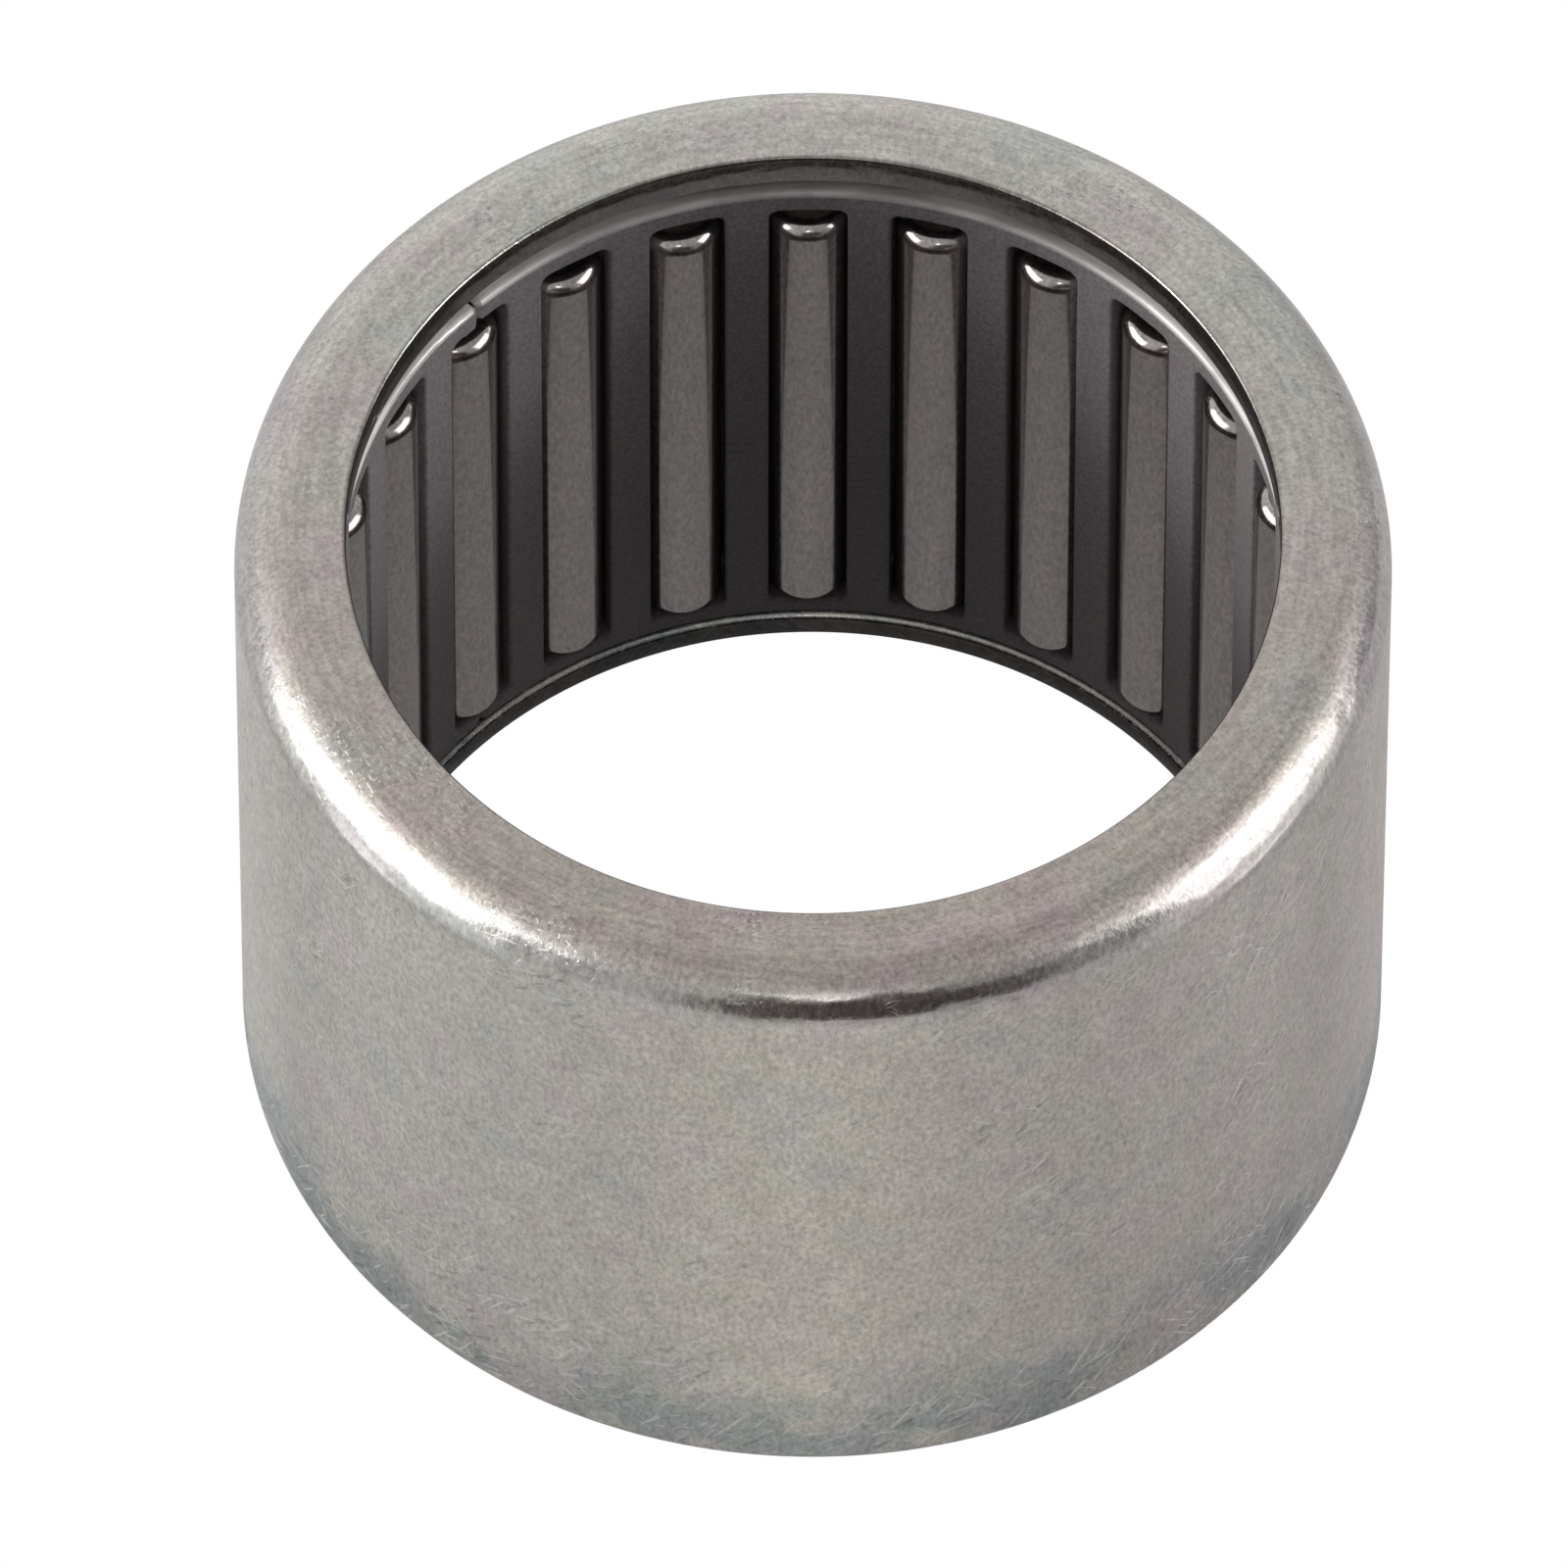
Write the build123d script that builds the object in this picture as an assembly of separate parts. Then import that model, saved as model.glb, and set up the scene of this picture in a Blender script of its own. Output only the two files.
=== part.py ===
from build123d import *
import math
import os

# A caged needle roller bearing with a drawn cup. The origin is the middle of the bearing on its
# axis, and +Z points out of the end with the thick, stamped lip. Millimetres and degrees.

# ---------------------------------------------------------------- driving dimensions

# drawn cup: one steel pressing, with a thick lip from the draw and a thin lip curled over last
cup_outside_diameter = 31.75
cup_width = 22.225
cup_wall = 0.779
thick_lip = 1.1
thin_lip = 0.78
thick_end_radius = 1.6
thin_end_radius = 1.0
inside_corner_radius = 0.4
lip_edge_radius = 0.1
curled_edge_radius = 0.25

# needles: plain rollers with rounded ends
needle_count = 24
needle_diameter = 2.381
needle_end_radius = 0.45
first_needle_angle = 90.7

# cage: one ring of strip with a window for each needle, welded shut across one window
cage_thickness = 0.75
cage_head_rim = 0.8
cage_foot_rim = 0.62
cage_edge_radius = 0.2
window_corner_radius = 0.3
needles_to_weld = 3
weld_groove_width = 0.4
weld_groove_depth = 0.12

# clearances and setbacks
needle_to_raceway = 0.015
needle_to_window_side = 0.04
needle_to_window_foot = 0.05
needle_to_window_head = 0.725
cage_to_thin_lip = 0.05
cage_to_thick_lip = 0.7
lip_behind_needles = 0.11
cage_behind_needles = 0.23
window_hold = 0.231

# ---------------------------------------------------------------- what follows from them

cup_radius = cup_outside_diameter / 2
raceway_radius = cup_radius - cup_wall
needle_radius = needle_diameter / 2
pitch_radius = raceway_radius - needle_to_raceway - needle_radius
shaft_radius = pitch_radius - needle_radius
lip_bore_radius = shaft_radius + lip_behind_needles
cage_inside_radius = shaft_radius + cage_behind_needles
cage_outside_radius = cage_inside_radius + cage_thickness

cup_top = cup_width / 2
cup_bottom = -cup_width / 2
thick_lip_underside = cup_top - thick_lip
thin_lip_topside = cup_bottom + thin_lip
cage_top = thick_lip_underside - cage_to_thick_lip
cage_bottom = thin_lip_topside + cage_to_thin_lip
window_top = cage_top - cage_head_rim
window_bottom = cage_bottom + cage_foot_rim
needle_top = window_top - needle_to_window_head
needle_bottom = window_bottom + needle_to_window_foot

needle_pitch_angle = 360 / needle_count
weld_angle = first_needle_angle + needles_to_weld * needle_pitch_angle


def needle_angle(number):
    """The angle about the bearing's axis at which needle 1, 2, 3 ... sits."""
    return first_needle_angle + (number - 1) * needle_pitch_angle


def round_corner(radius, height, rounding):
    """Round the corner of the section in hand that lies at this radius and height."""
    fillet(vertices().sort_by_distance((radius, height, 0))[0], rounding)


# ---------------------------------------------------------------- cup


def make_cup():
    """The drawn cup: raceway wall and both lips, turned from one section."""
    with BuildPart() as cup:
        with BuildSketch(Plane.XZ):
            with BuildLine():
                Polyline(
                    (lip_bore_radius, cup_top),
                    (cup_radius, cup_top),
                    (cup_radius, cup_bottom),
                    (lip_bore_radius, cup_bottom),
                    (lip_bore_radius, thin_lip_topside),
                    (raceway_radius, thin_lip_topside),
                    (raceway_radius, thick_lip_underside),
                    (lip_bore_radius, thick_lip_underside),
                    close=True,
                )
            make_face()
            round_corner(cup_radius, cup_top, thick_end_radius)
            round_corner(cup_radius, cup_bottom, thin_end_radius)
            round_corner(raceway_radius, thin_lip_topside, inside_corner_radius)
            round_corner(raceway_radius, thick_lip_underside, inside_corner_radius)
            for height in (cup_top, thick_lip_underside, cup_bottom):
                round_corner(lip_bore_radius, height, lip_edge_radius)
            round_corner(lip_bore_radius, thin_lip_topside, curled_edge_radius)
        revolve(axis=Axis.Z)
    return cup.part


# ---------------------------------------------------------------- cage


def make_window_cutter():
    """The slug punched out for one needle, on the +X side.

    Its sides open outwards, so that they run tangent to the needle at their clearance while the
    inner edges stay closer together than the needle is thick, which keeps the needle in.
    """
    half_width = needle_radius - window_hold / 2
    reach = pitch_radius - cage_inside_radius
    to_edge = math.hypot(reach, half_width)
    flare = math.asin((needle_radius + needle_to_window_side) / to_edge)
    flare -= math.atan2(half_width, reach)
    overcut = cage_thickness / 2
    inner = cage_inside_radius - overcut
    outer = cage_outside_radius + overcut
    inner_half = half_width - overcut * math.tan(flare)
    outer_half = half_width + (cage_thickness + overcut) * math.tan(flare)
    with BuildPart() as cutter:
        with BuildSketch(Plane.XY.offset(window_bottom)):
            with BuildLine():
                Polyline(
                    (inner, -inner_half),
                    (outer, -outer_half),
                    (outer, outer_half),
                    (inner, inner_half),
                    close=True,
                )
            make_face()
        extrude(amount=window_top - window_bottom)
        corners = [edge for edge in edges() if abs(edge.tangent_at(0.5).X) > 0.5]
        fillet(corners, window_corner_radius)
    return cutter.part


def make_cage():
    """The window cage, with the groove of its butt weld across both rims."""
    middle_radius = (cage_inside_radius + cage_outside_radius) / 2
    middle_height = (cage_top + cage_bottom) / 2
    height = cage_top - cage_bottom
    with BuildPart() as cage:
        with BuildSketch(Plane.XZ):
            with Locations((middle_radius, middle_height)):
                Rectangle(cage_thickness, height)
            fillet(vertices(), cage_edge_radius)
        revolve(axis=Axis.Z)
        cutter = make_window_cutter()
        for number in range(1, needle_count + 1):
            add(Rot(0, 0, needle_angle(number)) * cutter, mode=Mode.SUBTRACT)
        groove = Box(2 * weld_groove_depth, weld_groove_width, 2 * height, mode=Mode.PRIVATE)
        place = Rot(0, 0, weld_angle) * Pos(cage_inside_radius, 0, middle_height)
        add(place * groove, mode=Mode.SUBTRACT)
    return cage.part


# ---------------------------------------------------------------- needles


def make_needle(number):
    """One needle roller in its window."""
    with BuildPart() as needle:
        Cylinder(needle_radius, needle_top - needle_bottom)
        fillet(edges().filter_by(GeomType.CIRCLE), needle_end_radius)
    middle = (needle_top + needle_bottom) / 2
    return Rot(0, 0, needle_angle(number)) * Pos(pitch_radius, 0, middle) * needle.part


# ---------------------------------------------------------------- parts

os.makedirs("parts", exist_ok=True)
export_step(make_cup(), "parts/drawn_cup.step")
export_step(make_cage(), "parts/needle_cage.step")
for number in range(1, needle_count + 1):
    export_step(make_needle(number), f"parts/needle_roller_{number:02d}.step")

print(f"shaft diameter {2 * shaft_radius:.4f}")
print(f"raceway radius {raceway_radius:.4f}, pitch radius {pitch_radius:.4f}")
print(f"lip bore radius {lip_bore_radius:.4f}")
print(f"needle diameter {needle_diameter:.3f}, length {needle_top - needle_bottom:.3f}")
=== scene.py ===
import math
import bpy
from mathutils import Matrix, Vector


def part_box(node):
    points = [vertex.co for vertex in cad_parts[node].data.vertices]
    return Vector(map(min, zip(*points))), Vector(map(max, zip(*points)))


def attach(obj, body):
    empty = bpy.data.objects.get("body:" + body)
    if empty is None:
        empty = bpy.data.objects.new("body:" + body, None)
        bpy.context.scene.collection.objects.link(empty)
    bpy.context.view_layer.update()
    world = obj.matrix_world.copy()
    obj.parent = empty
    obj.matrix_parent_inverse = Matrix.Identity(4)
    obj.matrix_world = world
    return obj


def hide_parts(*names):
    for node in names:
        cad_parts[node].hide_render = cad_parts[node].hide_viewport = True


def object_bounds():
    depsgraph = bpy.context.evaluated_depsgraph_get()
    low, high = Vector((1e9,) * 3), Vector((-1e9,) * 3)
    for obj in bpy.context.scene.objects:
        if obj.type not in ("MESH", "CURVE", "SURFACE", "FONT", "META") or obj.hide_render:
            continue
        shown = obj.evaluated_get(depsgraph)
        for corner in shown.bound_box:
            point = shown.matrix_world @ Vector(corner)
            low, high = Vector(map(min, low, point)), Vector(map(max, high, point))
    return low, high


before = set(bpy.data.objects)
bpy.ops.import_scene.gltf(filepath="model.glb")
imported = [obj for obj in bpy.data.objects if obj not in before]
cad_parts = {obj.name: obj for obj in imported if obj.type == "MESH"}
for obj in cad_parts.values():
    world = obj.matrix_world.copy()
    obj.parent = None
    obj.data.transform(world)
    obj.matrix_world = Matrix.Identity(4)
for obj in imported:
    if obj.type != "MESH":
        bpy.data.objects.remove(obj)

import types

import bmesh
import bpy
from mathutils import Matrix, Vector

bl_info = {
    "name": "Drawn cup needle bearing",
    "version": (1, 0, 0),
    "blender": (4, 5, 0),
    "location": "3D View > Sidebar > Bearing",
    "description": "Models a caged needle roller bearing in a drawn steel cup",
    "category": "Object",
}

CAD_LOW, CAD_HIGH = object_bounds()
CUP_LOW, CUP_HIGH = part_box("drawn_cup")
CAGE_LOW, CAGE_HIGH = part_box("needle_cage")
NEEDLE_LOW, NEEDLE_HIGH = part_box("needle_roller_01")
NEEDLE_COUNT = sum(name.startswith("needle_roller_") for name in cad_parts)
HAIR = 1e-6
SMOOTH_UNDER = 35.0


# ---------------------------------------------------------------- sizes


class CupSizes(bpy.types.PropertyGroup):
    """Sizes of the drawn cup."""

    wall: bpy.props.FloatProperty(
        name="Wall",
        description="Thickness of the drawn wall",
        default=0.000779,
        unit="LENGTH",
        precision=6,
    )
    bore: bpy.props.FloatProperty(
        name="Lip bore",
        description="Radius of the hole inside the two lips",
        default=0.01281,
        unit="LENGTH",
        precision=6,
    )
    thick_lip: bpy.props.FloatProperty(
        name="Thick lip",
        description="Thickness of the lip that the press left at the top",
        default=0.0011,
        unit="LENGTH",
        precision=6,
    )
    thin_lip: bpy.props.FloatProperty(
        name="Thin lip",
        description="Thickness of the lip curled over at the bottom",
        default=0.00078,
        unit="LENGTH",
        precision=6,
    )
    top_corner: bpy.props.FloatProperty(
        name="Top corner",
        description="Outside radius where the wall turns into the thick lip",
        default=0.0016,
        unit="LENGTH",
        precision=6,
    )
    bottom_corner: bpy.props.FloatProperty(
        name="Bottom corner",
        description="Outside radius where the wall turns into the thin lip",
        default=0.001,
        unit="LENGTH",
        precision=6,
    )
    inside_corner: bpy.props.FloatProperty(
        name="Inside corner",
        description="Radius between the raceway and each lip",
        default=0.0004,
        unit="LENGTH",
        precision=6,
    )
    lip_edge: bpy.props.FloatProperty(
        name="Lip edge",
        description="Radius on the sheared edges of the hole",
        default=0.0001,
        unit="LENGTH",
        precision=6,
    )
    curled_edge: bpy.props.FloatProperty(
        name="Curled edge",
        description="Radius on the thin lip's edge that faces the cage",
        default=0.00025,
        unit="LENGTH",
        precision=6,
    )
    segments: bpy.props.IntProperty(
        name="Segments",
        description="Faces round the cup",
        default=480,
        min=96,
    )


class CageSizes(bpy.types.PropertyGroup):
    """Sizes of the window cage."""

    thickness: bpy.props.FloatProperty(
        name="Strip",
        description="Thickness of the strip the cage is rolled from",
        default=0.00075,
        unit="LENGTH",
        precision=6,
    )
    head_rim: bpy.props.FloatProperty(
        name="Head rim",
        description="Width of the band above the windows",
        default=0.0008,
        unit="LENGTH",
        precision=6,
    )
    foot_rim: bpy.props.FloatProperty(
        name="Foot rim",
        description="Width of the band below the windows",
        default=0.00062,
        unit="LENGTH",
        precision=6,
    )
    window_inside: bpy.props.FloatProperty(
        name="Window inside",
        description="Half the width of a window on the shaft side",
        default=0.001075,
        unit="LENGTH",
        precision=6,
    )
    window_outside: bpy.props.FloatProperty(
        name="Window outside",
        description="Half the width of a window on the raceway side",
        default=0.001213,
        unit="LENGTH",
        precision=6,
    )
    window_corner: bpy.props.FloatProperty(
        name="Window corner",
        description="Radius in the corners of each window",
        default=0.0003,
        unit="LENGTH",
        precision=6,
    )
    rim_edge: bpy.props.FloatProperty(
        name="Rim edge",
        description="Radius on the worn edges of the rims",
        default=0.0002,
        unit="LENGTH",
        precision=6,
    )
    window_edge: bpy.props.FloatProperty(
        name="Window edge",
        description="Radius on the worn edges of the windows",
        default=0.0001,
        unit="LENGTH",
        precision=6,
    )
    slices: bpy.props.IntProperty(
        name="Slices",
        description="Flats in one window's length of the rolled strip",
        default=20,
        min=8,
    )
    seam: bpy.props.FloatProperty(
        name="Seam",
        description="Angle of the butt weld round the cage",
        default=math.radians(135.7),
        subtype="ANGLE",
        unit="ROTATION",
    )


class NeedleSizes(bpy.types.PropertyGroup):
    """Sizes of the needles."""

    diameter: bpy.props.FloatProperty(
        name="Diameter",
        description="Ground diameter of a needle",
        default=0.002381,
        unit="LENGTH",
        precision=6,
    )
    end_radius: bpy.props.FloatProperty(
        name="End radius",
        description="Rounding at each end of a needle",
        default=0.00045,
        unit="LENGTH",
        precision=6,
    )
    pitch_radius: bpy.props.FloatProperty(
        name="Pitch radius",
        description="Distance from the bearing's axis to a needle's axis",
        default=0.0138905,
        unit="LENGTH",
        precision=6,
    )
    first: bpy.props.FloatProperty(
        name="First needle",
        description="Angle of the first needle round the bearing",
        default=math.radians(90.7),
        subtype="ANGLE",
        unit="ROTATION",
    )


class StudioLook(bpy.types.PropertyGroup):
    """Camera, light and floor."""

    height_angle: bpy.props.FloatProperty(
        name="Camera height",
        description="Angle of the camera above the floor",
        default=0.94336,
        subtype="ANGLE",
        unit="ROTATION",
    )
    distance: bpy.props.FloatProperty(
        name="Camera distance",
        description="Distance from the bearing's middle to the camera",
        default=0.9417,
        unit="LENGTH",
    )
    lens: bpy.props.FloatProperty(
        name="Lens",
        description="Focal length in millimetres",
        default=781.9,
    )
    pan: bpy.props.FloatProperty(
        name="Pan",
        description="Small turn of the camera to the bearing's left",
        default=0.000836,
        subtype="ANGLE",
        unit="ROTATION",
        precision=6,
    )
    tilt: bpy.props.FloatProperty(
        name="Tilt",
        description="Small nod of the camera",
        default=-0.000409,
        subtype="ANGLE",
        unit="ROTATION",
        precision=6,
    )
    roll: bpy.props.FloatProperty(
        name="Roll",
        description="Small lean of the camera",
        default=0.002826,
        subtype="ANGLE",
        unit="ROTATION",
        precision=6,
    )
    room: bpy.props.FloatProperty(
        name="Room light",
        description="Brightness of the light tent overhead",
        default=0.5,
        min=0.0,
    )
    left_box: bpy.props.FloatProperty(
        name="Left softbox",
        description="Brightness of the left softbox's face",
        default=2.3,
        min=0.0,
    )
    right_box: bpy.props.FloatProperty(
        name="Right softbox",
        description="Brightness of the right softbox's face",
        default=2.1,
        min=0.0,
    )
    front_lamp: bpy.props.FloatProperty(
        name="Front lamp",
        description="Brightness of the small lamp near the camera",
        default=5.0,
        min=0.0,
    )
    side_lamps: bpy.props.FloatProperty(
        name="Side lamps",
        description="Brightness of the bulb inside each softbox, which lights the hole",
        default=24.0,
        min=0.0,
    )
    board_glow: bpy.props.FloatProperty(
        name="Board glow",
        description="Light that comes up through the pale board",
        default=0.155,
        min=0.0,
    )
    floor_radius: bpy.props.FloatProperty(
        name="Floor radius",
        description="Radius of the round board under the bearing",
        default=0.2,
        unit="LENGTH",
    )


# ---------------------------------------------------------------- hand tools


def put_down():
    """Leave edit mode and let go of everything."""
    if bpy.context.mode != "OBJECT":
        bpy.ops.object.mode_set(mode="OBJECT")
    bpy.ops.object.select_all(action="DESELECT")


def pick_up(piece):
    """Make this piece the only one selected, and the active one."""
    put_down()
    piece.select_set(True)
    bpy.context.view_layer.objects.active = piece


def open_up(piece):
    """Start editing this piece with nothing in it selected."""
    pick_up(piece)
    bpy.ops.object.mode_set(mode="EDIT")
    bpy.context.tool_settings.mesh_select_mode = (False, True, False)
    bpy.ops.mesh.select_all(action="DESELECT")


def pick_edges(piece, wanted):
    """Select just the edges that the test accepts."""
    bpy.ops.mesh.select_all(action="DESELECT")
    mesh = bmesh.from_edit_mesh(piece.data)
    found = [edge for edge in mesh.edges if wanted(edge)]
    for edge in found:
        edge.select_set(True)
    bmesh.update_edit_mesh(piece.data)
    if not found:
        raise RuntimeError(f"no edge to work on in {piece.name}")


def pick_faces(piece, wanted):
    """Select just the faces that the test accepts."""
    bpy.ops.mesh.select_all(action="DESELECT")
    mesh = bmesh.from_edit_mesh(piece.data)
    found = [face for face in mesh.faces if wanted(face)]
    for face in found:
        face.select_set(True)
    bmesh.update_edit_mesh(piece.data)
    if not found:
        raise RuntimeError(f"no face to work on in {piece.name}")


def on_ring(*rings):
    """Accept an edge that lies on one of these rings, each a radius and a height."""

    def test(edge):
        return any(
            all(
                abs(end.co.xy.length - radius) < HAIR and abs(end.co.z - height) < HAIR
                for end in edge.verts
            )
            for radius, height in rings
        )

    return test


def draw_in(piece, ring, *radii):
    """Extrude a ring of edges flat to one radius after another."""
    radius, height = ring
    for to_radius in radii:
        pick_edges(piece, on_ring((radius, height)))
        bpy.ops.mesh.extrude_region()
        share = to_radius / radius
        bpy.ops.transform.resize(value=(share, share, 1.0), center_override=(0.0, 0.0, 0.0))
        radius = to_radius
    return (radius, height)


def draw_along(piece, ring, step):
    """Extrude a ring of edges along the axis."""
    pick_edges(piece, on_ring(ring))
    bpy.ops.mesh.extrude_region()
    bpy.ops.transform.translate(value=(0.0, 0.0, step))
    return (ring[0], ring[1] + step)


def round_off(radius, segments):
    """Bevel the selected edges to a radius."""
    bpy.ops.mesh.bevel(
        offset_type="OFFSET",
        offset=radius,
        segments=segments,
        profile=0.5,
        affect="EDGES",
        clamp_overlap=False,
    )


def cut_across(heights):
    """Cut the whole piece level at each of these heights."""
    for height in heights:
        bpy.ops.mesh.select_all(action="SELECT")
        bpy.ops.mesh.bisect(plane_co=(0.0, 0.0, height), plane_no=(0.0, 0.0, 1.0))


def smooth(piece, angle):
    """Shade smooth, keeping the edges sharper than the angle."""
    pick_up(piece)
    bpy.ops.object.shade_smooth_by_angle(angle=math.radians(angle))


def settle(piece):
    """Apply the piece's place, turn and size to its mesh."""
    pick_up(piece)
    bpy.ops.object.transform_apply(location=True, rotation=True, scale=True)


def apply_all(piece):
    """Apply every modifier in its order."""
    pick_up(piece)
    for name in [modifier.name for modifier in piece.modifiers]:
        bpy.ops.object.modifier_apply(modifier=name)


# ---------------------------------------------------------------- finishes


def new_finish(name):
    """A new material, with its node tree and its shader."""
    finish = bpy.data.materials.new(name)
    finish.use_nodes = True
    tree = finish.node_tree
    return finish, tree, tree.nodes["Principled BSDF"]


def node(tree, kind, label, **settings):
    """Add a node, named, with its settings."""
    made = tree.nodes.new(kind)
    made.label = label
    for name, value in settings.items():
        setattr(made, name, value)
    return made


def feed(tree, socket, source):
    """Link a node's first useful output to a socket, or set the socket to a number."""
    if isinstance(source, (int, float)):
        socket.default_value = source
        return
    if isinstance(source, bpy.types.NodeSocket):
        tree.links.new(source, socket)
        return
    names = ("Result", "Fac", "Color", "Value", "Vector", "Normal", "Distance")
    out = next(source.outputs[name] for name in names if name in source.outputs)
    tree.links.new(out, socket)


def sums(tree, label, operation, first, second=0.0, third=0.0, clamp=False):
    """A Math node fed by nodes or numbers."""
    made = node(tree, "ShaderNodeMath", label, operation=operation, use_clamp=clamp)
    for socket, source in zip(made.inputs, (first, second, third)):
        feed(tree, socket, source)
    return made


def grain(tree, label, place, size, stretch=(1.0, 1.0, 1.0), turn=0.0, detail=3.0, rough=0.55):
    """Noise of a real size in metres, stretched along axes that may be turned about Y."""
    mapping = node(tree, "ShaderNodeMapping", label + " place", vector_type="TEXTURE")
    mapping.inputs["Rotation"].default_value = (0.0, math.radians(turn), 0.0)
    mapping.inputs["Scale"].default_value = [size * share for share in stretch]
    feed(tree, mapping.inputs["Vector"], place)
    noise = node(tree, "ShaderNodeTexNoise", label)
    noise.inputs["Scale"].default_value = 1.0
    noise.inputs["Detail"].default_value = detail
    noise.inputs["Roughness"].default_value = rough
    tree.links.new(mapping.outputs["Vector"], noise.inputs["Vector"])
    return noise


def ramp(tree, label, source, stops):
    """A colour ramp over a value, with greys given as one number."""
    made = node(tree, "ShaderNodeValToRGB", label)
    bar = made.color_ramp
    while len(bar.elements) < len(stops):
        bar.elements.new(0.5)
    for element, (position, colour) in zip(bar.elements, stops):
        element.position = position
        element.color = (*colour, 1.0) if isinstance(colour, tuple) else (colour,) * 3 + (1.0,)
    feed(tree, made.inputs["Fac"], source)
    return made


def between(tree, label, source, low, high, bottom=0.0, top=1.0):
    """Ease a value from bottom to top while the source goes from low to high."""
    made = node(tree, "ShaderNodeMapRange", label, interpolation_type="SMOOTHSTEP")
    feed(tree, made.inputs["Value"], source)
    for name, value in (
        ("From Min", low), ("From Max", high), ("To Min", bottom), ("To Max", top)
    ):
        made.inputs[name].default_value = value
    return made


def mix(tree, label, mode, amount, under, over):
    """Mix two colours; the amount is a node or a number."""
    made = node(tree, "ShaderNodeMix", label, data_type="RGBA", blend_type=mode)
    feed(tree, made.inputs[0], amount)
    for socket, source in ((made.inputs[6], under), (made.inputs[7], over)):
        if isinstance(source, tuple):
            socket.default_value = (*source, 1.0)
        else:
            feed(tree, socket, source)
    return made.outputs[2]


def relief(tree, label, shader, layers):
    """Chain bump nodes, each a height, a depth in metres and a strength."""
    last = None
    for number, (height, depth, strength) in enumerate(layers, 1):
        bump = node(tree, "ShaderNodeBump", f"{label} {number}")
        bump.inputs["Distance"].default_value = depth
        bump.inputs["Strength"].default_value = strength
        feed(tree, bump.inputs["Height"], height)
        if last:
            tree.links.new(last.outputs["Normal"], bump.inputs["Normal"])
        last = bump
    tree.links.new(last.outputs["Normal"], shader.inputs["Normal"])


def axes(tree):
    """Object place, its x, y and z, its distance from the axis, and the place unrolled flat."""
    place = node(tree, "ShaderNodeTexCoord", "place").outputs["Object"]
    split = node(tree, "ShaderNodeSeparateXYZ", "along and across")
    tree.links.new(place, split.inputs["Vector"])
    x, y, z = (split.outputs[name] for name in "XYZ")
    across = sums(tree, "across squared", "MULTIPLY", x, x)
    both = sums(tree, "radius squared", "MULTIPLY_ADD", y, y, across)
    radius = sums(tree, "radius", "SQRT", both)
    front = sums(tree, "towards the front", "MULTIPLY", y, -1.0)
    angle = sums(tree, "angle from the front", "ARCTAN2", x, front)
    reach = (CUP_HIGH.x - CUP_LOW.x) / 2
    arc = sums(tree, "way round", "MULTIPLY", angle, reach)
    unrolled = node(tree, "ShaderNodeCombineXYZ", "unrolled")
    for socket, source in zip(unrolled.inputs, (arc, radius, z)):
        feed(tree, socket, source)
    return types.SimpleNamespace(place=place, x=x, y=y, z=z, radius=radius, unrolled=unrolled)


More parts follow.
